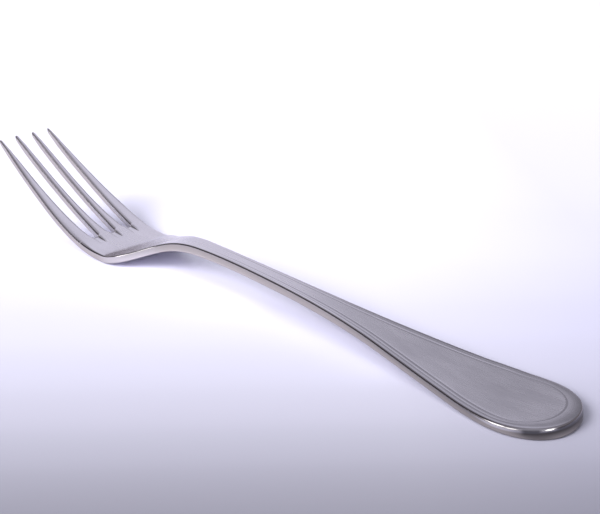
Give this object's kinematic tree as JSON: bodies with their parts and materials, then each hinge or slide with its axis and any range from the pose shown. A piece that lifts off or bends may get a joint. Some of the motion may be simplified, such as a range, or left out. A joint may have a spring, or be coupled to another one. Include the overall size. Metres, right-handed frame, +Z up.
{
  "type": "dinner fork",
  "caption": "Dinner fork with a curved head of long tapering tines, a slim arched neck and a flaring handle with a fine border and a rounded end.",
  "frame": {"origin": "on the table plane, under the middle of the fork's length and width", "axes": "+X along the fork from the tine tips towards the end of the handle, +Y across it, +Z up from the table on which it lies with its tines pointing up"},
  "size_m": [0.2014, 0.0244, 0.0276],
  "materials": {
    "stainless_steel": "satin to half-bright polish, brighter on the head and on the rolled edges"
  },
  "bodies": {
    "root": {"fork": "stainless_steel"}
  },
  "joints": []
}
